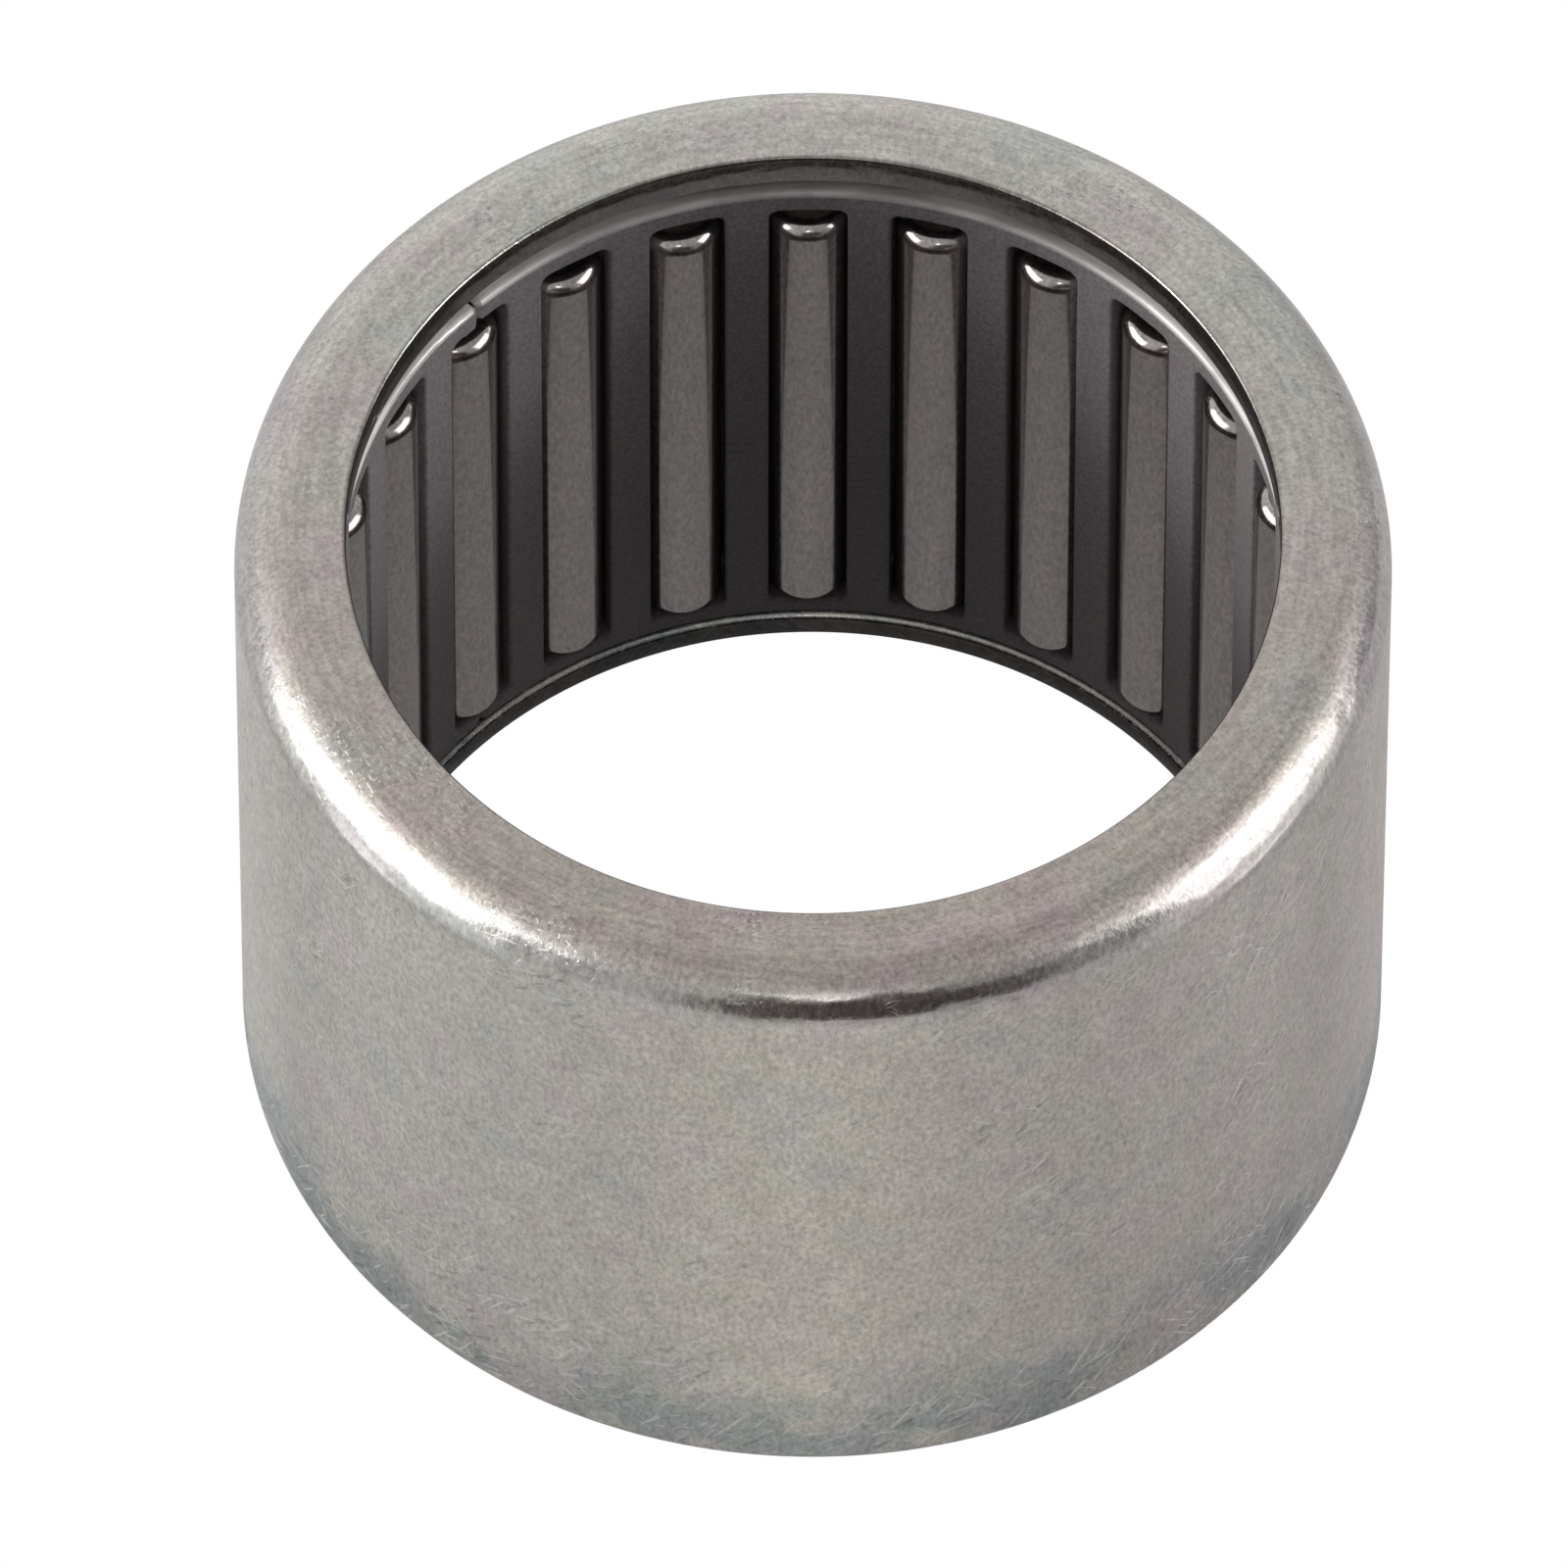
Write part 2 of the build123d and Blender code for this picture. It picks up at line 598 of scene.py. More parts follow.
def cup_steel():
    """Tumbled satin steel: patchy tints, fine grain, handling marks, stained near the floor, with
    painted shade at the floor, painted side shading and painted sheen at the far sides.
    """
    finish, tree, shader = new_finish("cup_steel")
    shader.inputs["Metallic"].default_value = 1.0
    at = axes(tree)
    top, bottom = CUP_HIGH.z, CUP_LOW.z
    bore = bpy.context.scene.bearing_cup.bore

    lip = between(tree, "on the lip", at.z, top - 0.0006, top - 0.0001)
    patches = grain(tree, "tint patches", at.place, 0.0030, detail=5.0, rough=0.62)
    on_wall = ramp(
        tree, "wall tints", patches,
        [
            (0.34, (0.500, 0.500, 0.478)),
            (0.45, (0.545, 0.525, 0.468)),
            (0.55, (0.550, 0.520, 0.482)),
            (0.67, (0.535, 0.490, 0.480)),
        ],
    )
    on_lip = ramp(
        tree, "lip tints", patches,
        [
            (0.34, (0.500, 0.500, 0.470)),
            (0.46, (0.555, 0.530, 0.475)),
            (0.58, (0.560, 0.510, 0.480)),
            (0.68, (0.540, 0.475, 0.470)),
        ],
    )
    brushed = grain(tree, "brushed round", at.unrolled, 0.00016, (14.0, 1.0, 1.0), detail=3.0, rough=0.6)
    brushed = ramp(tree, "brushed shades", brushed, [(0.35, 0.90), (0.65, 1.10)])
    on_lip = mix(tree, "brushed lip", "MULTIPLY", 1.0, on_lip, brushed)
    to_front = ramp(
        tree, "temper tint to the front", between(tree, "front to back", at.y, 0.014, -0.015),
        [(0.0, (1.01, 1.035, 1.05)), (1.0, (0.875, 0.835, 0.84))],
    )
    # Painted shading: the wall is painted lighter in the middle and darker on the right, where less
    # light falls, with a slight hue shift.
    across = ramp(
        tree, "painted shading from left to right", between(tree, "left to right", at.x, -0.012, 0.012),
        [(0.0, (0.98, 0.98, 1.00)), (0.5, (1.25, 1.225, 1.215)), (1.0, (0.895, 0.865, 0.90))],
    )
    on_wall = mix(tree, "wall with painted side shading", "MULTIPLY", 1.0, on_wall, across)
    # Painted sheen: the wall is painted lighter at its far left and right, where grazing reflections
    # fall.
    sideways = sums(tree, "out to the side", "ABSOLUTE", at.x)
    far_side_sheen = between(tree, "far sides", sideways, 0.0138, 0.0157)
    on_wall = mix(tree, "painted sheen at the far sides", "MULTIPLY", far_side_sheen, on_wall, (1.22, 1.22, 1.23))
    up_corner = between(tree, "up the corner", at.z, top - 0.0017, top - 0.0012)
    on_wall = mix(tree, "rubbed corner", "MULTIPLY", up_corner, on_wall, (0.97, 0.985, 1.01))
    on_lip = mix(tree, "lip, front and back", "MULTIPLY", 1.0, on_lip, to_front)
    colour = mix(tree, "wall and lip", "MIX", lip, on_wall, on_lip)

    fine = grain(tree, "fine grain", at.unrolled, 0.00015, (1.0, 1.0, 1.7), detail=4.0, rough=0.7)
    shades = ramp(tree, "grain shades", fine, [(0.30, 0.66), (0.50, 0.95), (0.70, 1.21)])
    colour = mix(tree, "grain", "MULTIPLY", 1.0, colour, shades)
    cloudy = grain(tree, "cloudy", at.unrolled, 0.0009, (1.0, 1.0, 1.4), detail=3.0)
    clouds = ramp(tree, "cloud shades", cloudy, [(0.3, 0.93), (0.7, 1.06)])
    colour = mix(tree, "clouds", "MULTIPLY", 1.0, colour, clouds)

    low_down = between(tree, "near the floor", at.z, bottom + 0.0065, bottom + 0.001)
    stains = grain(tree, "stains", at.unrolled, 0.0028, (1.3, 1.0, 1.0), detail=4.0)
    stained = between(tree, "stain edges", stains, 0.42, 0.52)
    stained = sums(tree, "stains low down", "MULTIPLY", stained, low_down)
    stained = sums(tree, "stain depth", "MULTIPLY", stained, 0.95)
    colour = mix(tree, "blue grey stains", "MULTIPLY", stained, colour, (0.71, 0.80, 0.84))
    # Painted shade: the wall is painted darker just above the floor, where the contact shadow falls.
    floor_shade = between(tree, "at the floor", at.z, bottom + 0.004, bottom + 0.001)
    colour = mix(tree, "painted shade at the floor", "MULTIPLY", floor_shade, colour, (0.87, 0.885, 0.895))

    marks = None
    for number, (turn, size, sharp) in enumerate(
        ((35.0, 0.00016, 0.655), (-50.0, 0.00013, 0.655), (75.0, 0.00015, 0.65)), 1
    ):
        scratch = grain(
            tree, f"scratches {number}", at.unrolled, size, (1.0, 1.0, 9.0), turn, detail=1.0
        )
        line = between(tree, f"scratch lines {number}", scratch, sharp, sharp + 0.05)
        marks = line if marks is None else sums(tree, "all scratches", "MAXIMUM", marks, line)
    where = grain(tree, "scratched areas", at.unrolled, 0.004, detail=2.0)
    area = between(tree, "scratched edges", where, 0.50, 0.66)
    area = sums(tree, "more near the floor", "MULTIPLY_ADD", low_down, 0.9, area)
    marks = sums(tree, "scratches kept", "MULTIPLY", marks, area, clamp=True)
    dark = grain(tree, "dark rubs", at.unrolled, 0.00022, (1.0, 1.0, 4.0), 55.0, detail=2.0)
    dark = between(tree, "dark rub edges", dark, 0.60, 0.66)
    dark = sums(tree, "dark rubs kept", "MULTIPLY", dark, area, clamp=True)
    colour = mix(tree, "dark rubs on", "MULTIPLY", dark, colour, (0.72, 0.73, 0.74))
    how_pale = sums(tree, "how pale", "MULTIPLY", marks, 0.6)
    colour = mix(tree, "pale scratches", "MIX", how_pale, colour, (0.72, 0.72, 0.70))

    inside = between(tree, "inside the hole", at.radius, bore + 0.00015, bore - 0.00001)
    colour = mix(tree, "dull sheared edge", "MULTIPLY", inside, colour, (0.5, 0.48, 0.48))
    # The wall of the thin lip's hole is made much darker.
    below = between(tree, "at the thin lip", at.z, bottom + 0.0009, bottom + 0.0005)
    below = sums(tree, "hole in the thin lip", "MULTIPLY", below, inside)
    colour = mix(tree, "darker in the thin lip's hole", "MULTIPLY", below, colour, (0.35, 0.34, 0.34))
    tree.links.new(colour, shader.inputs["Base Color"])

    off_lip = sums(tree, "off the lip", "SUBTRACT", 1.0, lip)
    rubbed = sums(tree, "polished corner", "MULTIPLY", up_corner, off_lip)
    hole_edge = between(tree, "edge of the hole", at.radius, bore + 0.00021, bore + 0.00009)
    polished = sums(tree, "polished edges", "MAXIMUM", rubbed, hole_edge)
    rough = ramp(tree, "wall roughness", fine, [(0.25, 0.36), (0.75, 0.46)])
    keen = ramp(tree, "corner roughness", fine, [(0.25, 0.11), (0.75, 0.24)])
    rough = mix(tree, "roughness", "MIX", polished, rough, keen)
    tree.links.new(rough, shader.inputs["Roughness"])
    dents = grain(tree, "dents", at.unrolled, 0.0006, (2.5, 1.0, 1.0), detail=1.0)
    nicks = sums(tree, "nicked corner", "MULTIPLY", dents, rubbed)
    relief(
        tree, "relief", shader,
        [
            (cloudy, 0.00003, 0.12),
            (nicks, 0.00008, 0.7),
            (fine, 0.00002, 0.36),
            (marks, 0.00001, 0.5),
        ],
    )
    return finish


def cage_steel():
    """Dark phosphated strip, worn bare with a painted highlight along the top rim, painted lighter on
    the side bars and painted darker lower down as shade.
    """
    finish, tree, shader = new_finish("cage_steel")
    shader.inputs["Metallic"].default_value = 0.1
    shader.inputs["Specular IOR Level"].default_value = 0.25
    at = axes(tree)
    top, bottom = CAGE_HIGH.z, CAGE_LOW.z
    fine = grain(tree, "phosphate grain", at.unrolled, 0.00015, detail=4.0, rough=0.65)
    colour = ramp(
        tree, "phosphate", fine,
        [(0.3, (0.130, 0.115, 0.118)), (0.7, (0.260, 0.234, 0.238))],
    )
    # Painted shade: the cage is painted darker lower down in the bore, where less light reaches.
    low_shade = between(tree, "lower down", at.z, top - 0.002, bottom + 0.004)
    colour = mix(tree, "painted shade lower down", "MULTIPLY", low_shade, colour, (0.72, 0.71, 0.71))
    sideways = sums(tree, "out to the side", "ABSOLUTE", at.x)
    # Painted light: the bars out to the sides, which face the softboxes, are painted lighter and those
    # in the middle darker.
    side_bar_light = ramp(
        tree, "painted light on the side bars", between(tree, "middle to sides", sideways, 0.002, 0.011),
        [(0.0, (0.66, 0.66, 0.66)), (1.0, (1.12, 1.12, 1.12))],
    )
    colour = mix(tree, "side bars painted lighter", "MULTIPLY", 1.0, colour, side_bar_light)
    worn = grain(tree, "uneven wear", at.unrolled, 0.0004, (5.0, 1.0, 1.0), detail=3.0)
    worn = between(tree, "wear edges", worn, 0.25, 0.65, bottom=0.45)
    rim = between(tree, "top rim", at.z, top - 0.00022, top - 0.0001)
    worn = sums(tree, "rubbed rim", "MULTIPLY", worn, rim)
    # The rounded top rim is worn bare, and painted lighter towards the sides as a highlight.
    bare_with_highlight = ramp(
        tree, "rim metal, painted highlight at the sides", between(tree, "rim to sides", sideways, 0.006, 0.0105),
        [(0.0, (0.35, 0.33, 0.325)), (1.0, (0.82, 0.78, 0.76))],
    )
    colour = mix(tree, "worn rim with painted highlight", "MIX", worn, colour, bare_with_highlight)
    tree.links.new(colour, shader.inputs["Base Color"])
    rough = ramp(tree, "satin", fine, [(0.3, 0.44), (0.7, 0.54)])
    rough = mix(tree, "roughness", "MIX", rim, rough, (0.22, 0.22, 0.22))
    tree.links.new(rough, shader.inputs["Roughness"])
    relief(tree, "relief", shader, [(fine, 0.00001, 0.25)])
    return finish


def needle_steel():
    """Ground bearing steel with polished ends."""
    finish, tree, shader = new_finish("needle_steel")
    shader.inputs["Metallic"].default_value = 1.0
    at = axes(tree)
    fine = grain(tree, "grinding", at.unrolled, 0.00014, (1.0, 1.0, 2.0), detail=4.0, rough=0.65)
    colour = ramp(
        tree, "ground steel", fine,
        [(0.3, (0.35, 0.328, 0.318)), (0.7, (0.60, 0.567, 0.550))],
    )
    patches = grain(tree, "tint patches", at.place, 0.0012, detail=3.0)
    tints = ramp(tree, "tints", patches, [(0.38, (0.95, 0.975, 0.98)), (0.62, (1.05, 1.0, 0.99))])
    colour = mix(tree, "tinted steel", "MULTIPLY", 1.0, colour, tints)
    tree.links.new(colour, shader.inputs["Base Color"])
    rough = ramp(tree, "satin", fine, [(0.3, 0.12), (0.7, 0.20)])
    tree.links.new(rough.outputs["Color"], shader.inputs["Roughness"])
    relief(tree, "relief", shader, [(fine, 0.00001, 0.12)])
    return finish


# ---------------------------------------------------------------- pieces


class BEARING_OT_studio(bpy.types.Operator):
    """Set the camera, the board under the bearing, the light tent and its five lamps."""

    bl_idname = "bearing.studio"
    bl_label = "Studio"

    def execute(self, context):
        look = context.scene.bearing_studio
        context.scene.view_settings.view_transform = "Standard"
        self.set_camera(context, look)
        self.lay_board(look)
        self.hang_tent(context, look)
        for name, brightness, azimuth, rise, wide, high in (
            ("left_softbox", look.left_box, 190.0, 19.0, 52.0, 54.0),
            ("right_softbox", look.right_box, 352.0, 20.0, 42.0, 52.0),
            ("front_lamp", look.front_lamp, 271.0, 47.0, 6.0, 6.0),
            ("left_lamp", look.side_lamps, 188.0, 27.0, 10.0, 10.0),
            ("right_lamp", look.side_lamps, 354.0, 27.0, 10.0, 10.0),
        ):
            self.stand_softbox(name, azimuth, rise, wide, high, brightness)
        return {"FINISHED"}

    def set_camera(self, context, look):
        """Long lens, looking down on the bearing from the front."""
        rise = look.height_angle
        bpy.ops.object.camera_add()
        camera = context.object
        camera.name = "camera"
        back = Vector((0.0, -math.cos(rise), math.sin(rise)))
        turn = (
            Matrix.Rotation(math.pi / 2 - rise, 4, "X")
            @ Matrix.Rotation(look.pan, 4, "Y")
            @ Matrix.Rotation(look.tilt, 4, "X")
            @ Matrix.Rotation(look.roll, 4, "Z")
        )
        camera.matrix_world = Matrix.Translation(back * look.distance) @ turn
        camera.data.sensor_width = 36.0
        camera.data.lens = look.lens
        camera.data.clip_start = 0.01
        camera.data.clip_end = 10.0
        context.scene.camera = camera

    def lay_board(self, look):
        """A round pale board, rounded at its edge, which looks white from the camera."""
        put_down()
        thick = 0.002
        edge = thick * 0.4
        bpy.ops.mesh.primitive_cylinder_add(
            vertices=128,
            radius=look.floor_radius,
            depth=thick,
            location=(0.0, 0.0, CAD_LOW.z - thick / 2),
        )
        board = bpy.context.object
        board.name = "board"
        settle(board)
        open_up(board)
        rim = look.floor_radius
        pick_edges(board, on_ring((rim, CAD_LOW.z), (rim, CAD_LOW.z - thick)))
        round_off(edge, 3)
        smooth(board, 40)
        finish, tree, shader = new_finish("board_paper")
        shader.inputs["Base Color"].default_value = (0.45, 0.45, 0.45, 1.0)
        shader.inputs["Metallic"].default_value = 0.1
        shader.inputs["Roughness"].default_value = 0.28
        shader.inputs["Emission Color"].default_value = (1.0, 0.99, 0.97, 1.0)
        shader.inputs["Emission Strength"].default_value = look.board_glow
        glow = node(tree, "ShaderNodeEmission", "overexposed paper")
        path = node(tree, "ShaderNodeLightPath", "ray")
        choice = node(tree, "ShaderNodeMixShader", "as exposed")
        tree.links.new(path.outputs["Is Camera Ray"], choice.inputs["Fac"])
        tree.links.new(shader.outputs["BSDF"], choice.inputs[1])
        tree.links.new(glow.outputs["Emission"], choice.inputs[2])
        tree.links.new(choice.outputs["Shader"], tree.nodes["Material Output"].inputs["Surface"])
        board.data.materials.append(finish)

    def hang_tent(self, context, look):
        """White surroundings with a dark gap towards the front, where the camera stands."""
        world = bpy.data.worlds.new("light_tent")
        world.use_nodes = True
        tree = world.node_tree
        place = node(tree, "ShaderNodeTexCoord", "direction").outputs["Generated"]
        room = look.room
        brighter, brightest = room * 1.5, room * 2.0
        towards_back = self.facing(tree, "towards the back", place, 90.0, 15.0)
        tent_shade = ramp(
            tree, "tent", towards_back,
            [(0.0, room), (0.4, room), (0.8, brighter), (1.0, brightest)],
        )
        gap = self.facing(tree, "towards the gap", place, 279.0, 10.0)
        gap_shade = ramp(
            tree, "gap", gap,
            [(0.0, 1.0), (0.83, 1.0), (0.93, (0.21, 0.175, 0.18)), (1.0, (0.17, 0.14, 0.145))],
        )
        shade = mix(tree, "tent with its gap", "MULTIPLY", 1.0, tent_shade, gap_shade)
        side = self.facing(tree, "towards the left", place, 180.0, 0.0)
        side_shade = ramp(
            tree, "dimmer to the right", between(tree, "right to left", side, -1.0, 1.0),
            [(0.0, 0.72), (0.5, 1.0), (1.0, 1.2)],
        )
        shade = mix(tree, "tent, side to side", "MULTIPLY", 1.0, shade, side_shade)
        tent = tree.nodes["Background"]
        tent.label = "tent"
        tree.links.new(shade, tent.inputs["Color"])
        white = node(tree, "ShaderNodeBackground", "white backdrop")
        white.inputs["Color"].default_value = (1.0, 1.0, 1.0, 1.0)
        path = node(tree, "ShaderNodeLightPath", "ray")
        choice = node(tree, "ShaderNodeMixShader", "as exposed")
        tree.links.new(path.outputs["Is Camera Ray"], choice.inputs["Fac"])
        tree.links.new(tent.outputs["Background"], choice.inputs[1])
        tree.links.new(white.outputs["Background"], choice.inputs[2])
        tree.links.new(choice.outputs["Shader"], tree.nodes["World Output"].inputs["Surface"])
        context.scene.world = world

    def facing(self, tree, label, place, azimuth, rise):
        """How nearly a ray points this way: 1 straight at it, 0 square to it."""
        turn, up = math.radians(azimuth), math.radians(rise)
        made = node(tree, "ShaderNodeVectorMath", label, operation="DOT_PRODUCT")
        tree.links.new(place, made.inputs[0])
        made.inputs[1].default_value = (
            math.cos(turn) * math.cos(up),
            math.sin(turn) * math.cos(up),
            math.sin(up),
        )
        return made

    def stand_softbox(self, name, azimuth, rise, wide, high, brightness):
        """A softbox seen from the bearing at these angles, with a face of this brightness."""
        put_down()
        away = 0.6
        turn, up = math.radians(azimuth), math.radians(rise)
        direction = Vector(
            (math.cos(turn) * math.cos(up), math.sin(turn) * math.cos(up), math.sin(up))
        )
        bpy.ops.object.light_add(type="AREA", location=direction * away)
        box = bpy.context.object
        box.name = name
        box.rotation_mode = "QUATERNION"
        box.rotation_quaternion = direction.to_track_quat("Z", "Y")
        box.data.shape = "RECTANGLE"
        box.data.size = 2 * away * math.tan(math.radians(wide / 2))
        box.data.size_y = 2 * away * math.tan(math.radians(high / 2))
        box.data.energy = brightness * math.pi * box.data.size * box.data.size_y


class BEARING_OT_cup(bpy.types.Operator):
    """Draw the cup: a tube with its two lips turned in and every corner rounded."""

    bl_idname = "bearing.cup"
    bl_label = "Cup"

    def execute(self, context):
        sizes = context.scene.bearing_cup
        outside = (CUP_HIGH.x - CUP_LOW.x) / 2
        top, bottom = CUP_HIGH.z, CUP_LOW.z
        raceway = outside - sizes.wall
        put_down()
        bpy.ops.mesh.primitive_cylinder_add(
            vertices=sizes.segments,
            radius=outside,
            depth=top - bottom,
            end_fill_type="NOTHING",
            location=(0.0, 0.0, (top + bottom) / 2),
        )
        cup = context.object
        cup.name = "cup"
        settle(cup)
        open_up(cup)
        hold = sizes.lip_edge / 2
        loose_ends = []
        for height, lip, corner, edge in (
            (top, -sizes.thick_lip, sizes.top_corner, sizes.lip_edge),
            (bottom, sizes.thin_lip, sizes.bottom_corner, sizes.curled_edge),
        ):
            face_edge = sizes.bore + sizes.lip_edge + hold
            ring = draw_in(cup, (outside, height), outside - corner - hold, face_edge, sizes.bore)
            ring = draw_along(cup, ring, lip)
            inner_corner = raceway - sizes.inside_corner - hold
            loose_ends.append(draw_in(cup, ring, sizes.bore + edge + hold, inner_corner, raceway))
        pick_edges(cup, on_ring(*loose_ends))
        bpy.ops.mesh.bridge_edge_loops()
        for radius, segments, rings in (
            (sizes.inside_corner, 5, loose_ends),
            (sizes.top_corner, 16, [(outside, top)]),
            (sizes.bottom_corner, 12, [(outside, bottom)]),
            (sizes.lip_edge, 4, [(sizes.bore, top), (sizes.bore, top - sizes.thick_lip)]),
            (sizes.lip_edge, 4, [(sizes.bore, bottom)]),
            (sizes.curled_edge, 6, [(sizes.bore, bottom + sizes.thin_lip)]),
        ):
            pick_edges(cup, on_ring(*rings))
            round_off(radius, segments)
        cut_across(
            (
                top - sizes.lip_edge - hold,
                top - sizes.thick_lip + sizes.lip_edge + hold,
                top - sizes.top_corner - hold,
                top - sizes.thick_lip - sizes.inside_corner - hold,
                bottom + sizes.lip_edge + hold,
                bottom + sizes.thin_lip - sizes.curled_edge - hold,
                bottom + sizes.bottom_corner + hold,
                bottom + sizes.thin_lip + sizes.inside_corner + hold,
            )
        )
        bpy.ops.mesh.select_all(action="SELECT")
        bpy.ops.mesh.normals_make_consistent(inside=False)
        put_down()
        smooth(cup, SMOOTH_UNDER)
        cup.data.materials.append(cup_steel())
        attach(cup, "cup")
        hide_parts("drawn_cup")
        return {"FINISHED"}


class BEARING_OT_cage(bpy.types.Operator):
    """Punch the windows in a flat strip, roll it round and weld its ends."""

    bl_idname = "bearing.cage"
    bl_label = "Cage"

    def execute(self, context):
        sizes = context.scene.bearing_cage
        top, bottom = CAGE_HIGH.z, CAGE_LOW.z
        outside = (CAGE_HIGH.x - CAGE_LOW.x) / 2
        middle = outside - sizes.thickness / 2
        pitch = 2 * math.pi * middle / NEEDLE_COUNT
        cell = self.make_cell(context, sizes, pitch, middle, top, bottom)
        cage = self.roll_up(cell, sizes, pitch, middle)
        cage.data.materials.append(cage_steel())
        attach(cage, "cage")
        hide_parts("needle_cage")
        return {"FINISHED"}

    def make_cell(self, context, sizes, pitch, middle, top, bottom):
        """One bar with half a window on each side, lying along X, shaft side towards +Y."""
        half = sizes.thickness / 2
        put_down()
        bpy.ops.mesh.primitive_cube_add(size=1.0, location=(0.0, 0.0, (top + bottom) / 2))
        cell = context.object
        cell.name = "cage"
        cell.scale = (pitch, sizes.thickness, top - bottom)
        settle(cell)
        low, high = bottom + sizes.foot_rim, top - sizes.head_rim
        inside = middle * math.asin(sizes.window_inside / (middle - half))
        outside = middle * math.asin(sizes.window_outside / (middle + half))
        for place in (-pitch / 2, pitch / 2):
            punch = self.make_punch(context, sizes, inside, outside, low, high)
            punch.location.x = place
            settle(punch)
            cut = cell.modifiers.new("window", "BOOLEAN")
            cut.object = punch
            cut.solver = "EXACT"
            apply_all(cell)
            bpy.data.objects.remove(punch)
        open_up(cell)
        pick_faces(
            cell,
            lambda f: all(v.co.x > pitch / 2 - HAIR for v in f.verts)
            or all(v.co.x < HAIR - pitch / 2 for v in f.verts),
        )
        bpy.ops.mesh.delete(type="FACE")
        bpy.ops.mesh.select_all(action="SELECT")
        bpy.ops.mesh.dissolve_limited(angle_limit=math.radians(1.0))
        for radius, segments, at_rim in ((sizes.rim_edge, 5, True), (sizes.window_edge, 3, False)):
            pick_edges(
                cell,
                lambda e: len(e.link_faces) == 2
                and e.calc_face_angle(0.0) > math.radians(60)
                and all(low - HAIR < v.co.z < high + HAIR for v in e.verts) != at_rim,
            )
            round_off(radius, segments)
        for step in range(1, sizes.slices):
            bpy.ops.mesh.select_all(action="SELECT")
            bpy.ops.mesh.bisect(
                plane_co=((step / sizes.slices - 0.5) * pitch, 0.0, 0.0),
                plane_no=(1.0, 0.0, 0.0),
            )
        put_down()
        return cell

    def make_punch(self, context, sizes, inside, outside, low, high):
        """The tool that knocks out a window: a flared block with rounded corners."""
        put_down()
        bpy.ops.mesh.primitive_cube_add(size=1.0, location=(0.0, 0.0, (low + high) / 2))
        punch = context.object
        punch.name = "punch"
        punch.scale = (1.0, sizes.thickness * 2, high - low)
        settle(punch)
        open_up(punch)
        for side in (1, -1):
            pick_edges(punch, lambda e: all(side * v.co.y > 0 for v in e.verts))
            wide = (inside + outside) / 2 + side * (inside - outside)
            bpy.ops.transform.resize(value=(2 * wide, 1.0, 1.0), center_override=(0.0, 0.0, 0.0))
        pick_edges(punch, lambda e: abs(e.verts[0].co.y - e.verts[1].co.y) > sizes.thickness)
        round_off(sizes.window_corner, 6)
        put_down()
        return punch

    def roll_up(self, cell, sizes, pitch, middle):
        """Repeat the window along the strip, bend the strip into a ring and close it."""
        repeat = cell.modifiers.new("repeat", "ARRAY")
        repeat.count = NEEDLE_COUNT
        repeat.use_relative_offset = False
        repeat.use_constant_offset = True
        repeat.constant_offset_displace = (pitch, 0.0, 0.0)
        repeat.use_merge_vertices = True
        repeat.merge_threshold = HAIR
        apply_all(cell)
        pick_up(cell)
        cell.location.x = -pitch * (NEEDLE_COUNT - 1) / 2
        settle(cell)
        self.butt_ends(cell, sizes, pitch * NEEDLE_COUNT / 2)
        roll = cell.modifiers.new("roll", "SIMPLE_DEFORM")
        roll.deform_method = "BEND"
        roll.deform_axis = "Z"
        roll.angle = 2 * math.pi
        apply_all(cell)
        cell.location.y = -middle
        settle(cell)
        cell.rotation_euler.z = sizes.seam - math.pi / 2
        settle(cell)
        open_up(cell)
        bpy.ops.mesh.select_all(action="SELECT")
        bpy.ops.mesh.remove_doubles(threshold=HAIR)
        bpy.ops.mesh.normals_make_consistent(inside=False)
        put_down()
        smooth(cell, SMOOTH_UNDER)
        return cell

    def butt_ends(self, strip, sizes, end):
        """Pinch both ends of the strip, and let one sit a little low and inward, as welded."""
        middles = (CAGE_HIGH.z - sizes.head_rim / 2, CAGE_LOW.z + sizes.foot_rim / 2)
        pinch = (1.0, 0.68, 0.72)
        drop = (0.0, 0.000015, -0.00003)
        open_up(strip)
        for middle in middles:
            pick_edges(
                strip,
                lambda e: all(
                    abs(v.co.x) > end - HAIR and abs(v.co.z - middle) < sizes.head_rim
                    for v in e.verts
                ),
            )
            bpy.ops.transform.resize(value=pinch, center_override=(0.0, 0.0, middle))
        for reach in (0.0016, 0.0011, 0.0006):
            pick_edges(
                strip,
                lambda e: all(v.co.x < reach - end and v.co.z > 0.0 for v in e.verts),
            )
            bpy.ops.transform.translate(value=drop)
        put_down()


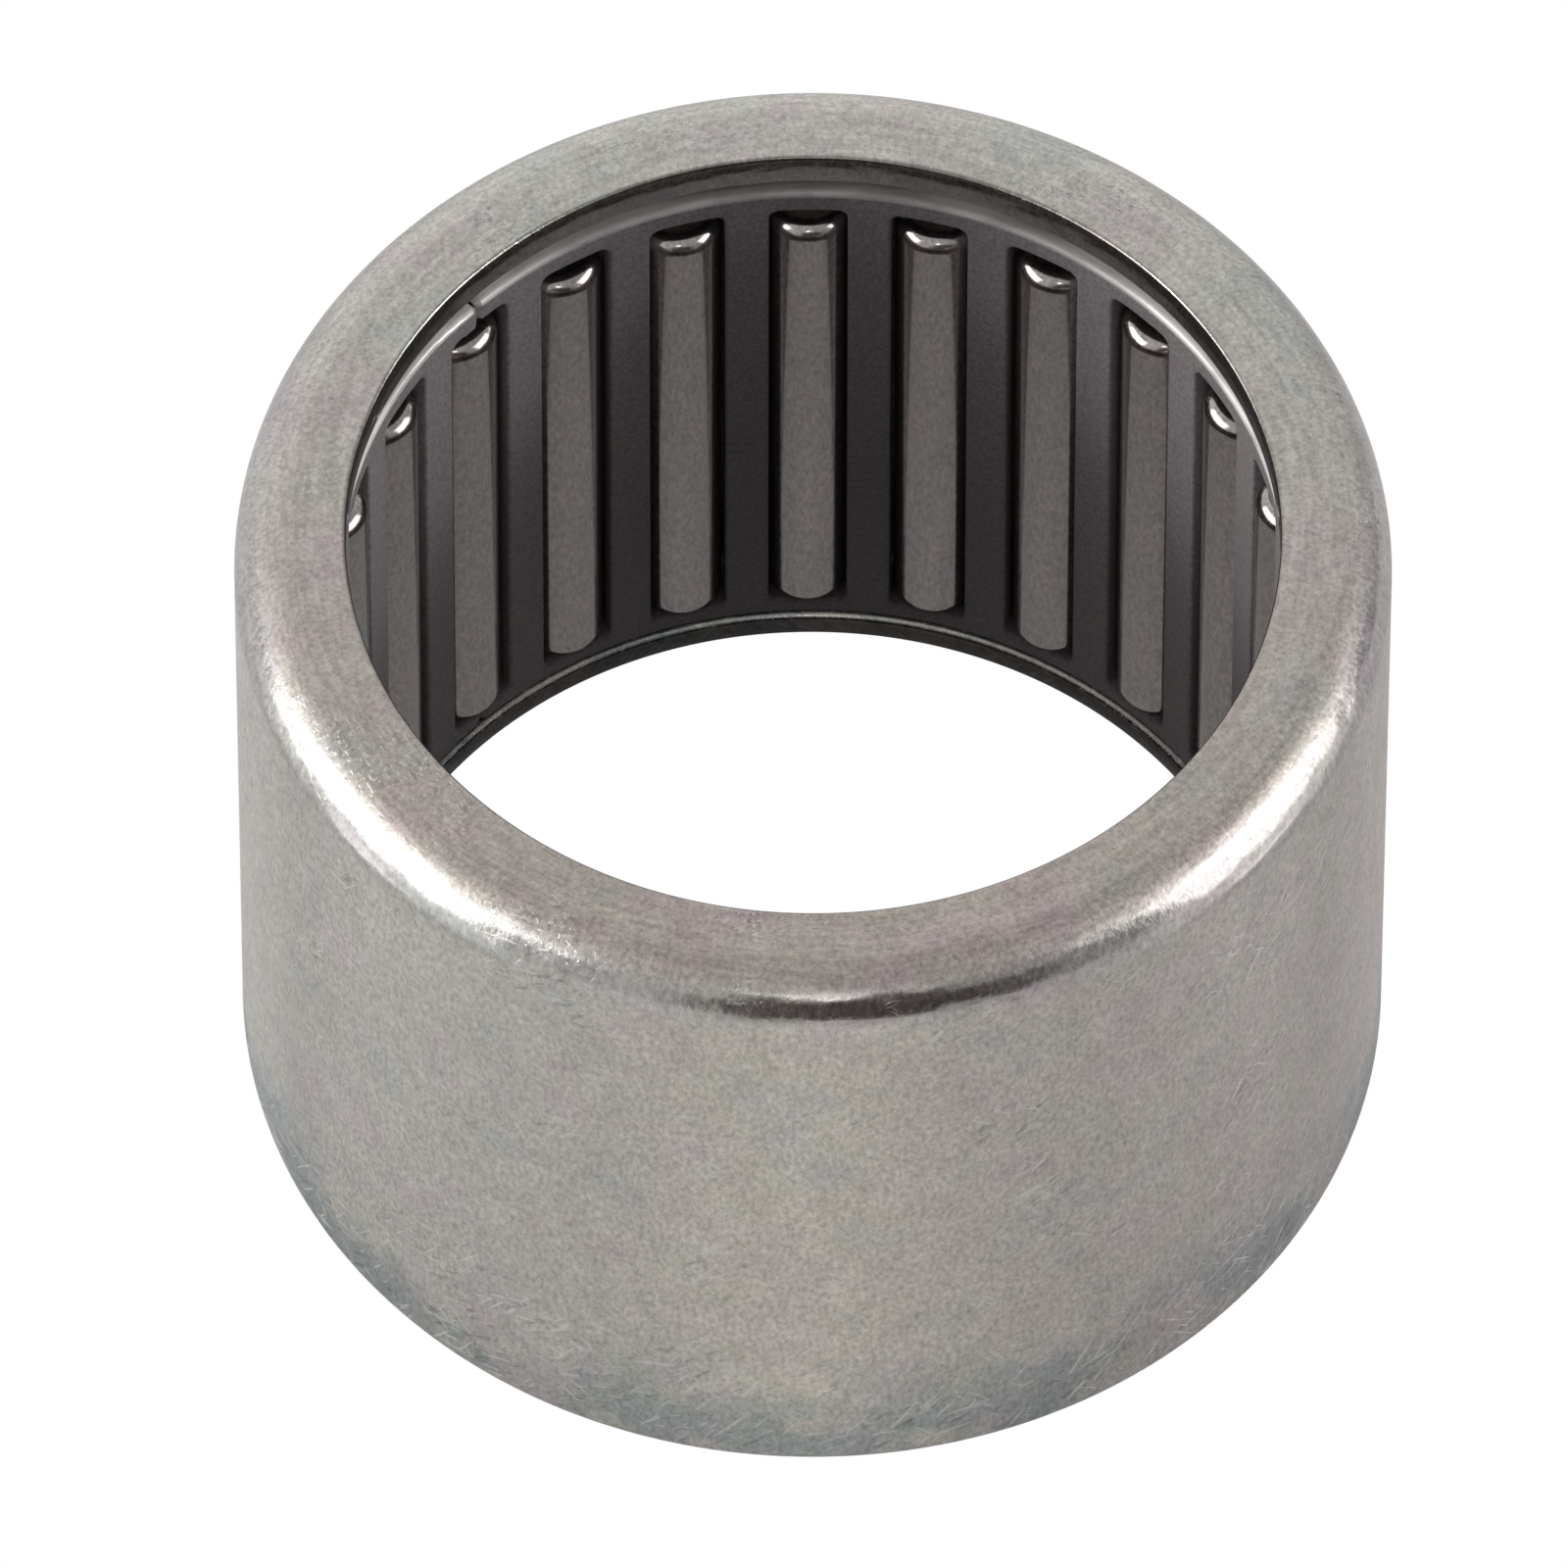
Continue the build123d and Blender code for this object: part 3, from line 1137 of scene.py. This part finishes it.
class BEARING_OT_needles(bpy.types.Operator):
    """Grind one needle and set a copy of it in every window."""

    bl_idname = "bearing.needles"
    bl_label = "Needles"

    def execute(self, context):
        sizes = context.scene.bearing_needle
        radius = sizes.diameter / 2
        top, bottom = NEEDLE_HIGH.z, NEEDLE_LOW.z
        put_down()
        bpy.ops.mesh.primitive_cylinder_add(
            vertices=64,
            radius=radius,
            depth=top - bottom,
            location=(0.0, 0.0, (top + bottom) / 2),
        )
        needle = context.object
        needle.name = "needle_01"
        settle(needle)
        open_up(needle)
        pick_edges(needle, on_ring((radius, top), (radius, bottom)))
        round_off(sizes.end_radius, 12)
        hold = sizes.end_radius / 5
        cut_across((top - sizes.end_radius - hold, bottom + sizes.end_radius + hold))
        pick_faces(needle, lambda f: abs(f.normal.z) > 0.9999)
        bpy.ops.mesh.inset(thickness=hold, use_boundary=True)
        put_down()
        smooth(needle, SMOOTH_UNDER)
        needle.location = (sizes.pitch_radius, 0.0, 0.0)
        settle(needle)
        needle.rotation_euler.z = sizes.first
        settle(needle)
        finish = needle_steel()
        needle.data.materials.append(finish)
        step = 2 * math.pi / NEEDLE_COUNT
        for number in range(1, NEEDLE_COUNT + 1):
            if number > 1:
                pick_up(needle)
                bpy.ops.object.duplicate()
                needle = context.object
                needle.name = f"needle_{number:02d}"
                needle.rotation_euler.z = step
                settle(needle)
            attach(needle, f"needle_{number:02d}")
            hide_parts(f"needle_roller_{number:02d}")
        return {"FINISHED"}


class BEARING_PT_make(bpy.types.Panel):
    """Buttons that make the bearing."""

    bl_idname = "BEARING_PT_make"
    bl_label = "Needle bearing"
    bl_space_type = "VIEW_3D"
    bl_region_type = "UI"
    bl_category = "Bearing"

    def draw(self, context):
        for operator in OPERATORS:
            self.layout.operator(operator.bl_idname)


OPERATORS = (BEARING_OT_studio, BEARING_OT_cup, BEARING_OT_cage, BEARING_OT_needles)
SETTINGS = {
    "bearing_studio": StudioLook,
    "bearing_cup": CupSizes,
    "bearing_cage": CageSizes,
    "bearing_needle": NeedleSizes,
}
CLASSES = (*SETTINGS.values(), *OPERATORS, BEARING_PT_make)


def register():
    for each in CLASSES:
        bpy.utils.register_class(each)
    for name, group in SETTINGS.items():
        setattr(bpy.types.Scene, name, bpy.props.PointerProperty(type=group))


def unregister():
    for name in SETTINGS:
        delattr(bpy.types.Scene, name)
    for each in reversed(CLASSES):
        bpy.utils.unregister_class(each)


def main():
    """Make the whole bearing."""
    register()
    bpy.ops.bearing.studio()
    bpy.ops.bearing.cup()
    bpy.ops.bearing.cage()
    bpy.ops.bearing.needles()
    put_down()


if __name__ == "__main__":
    main()
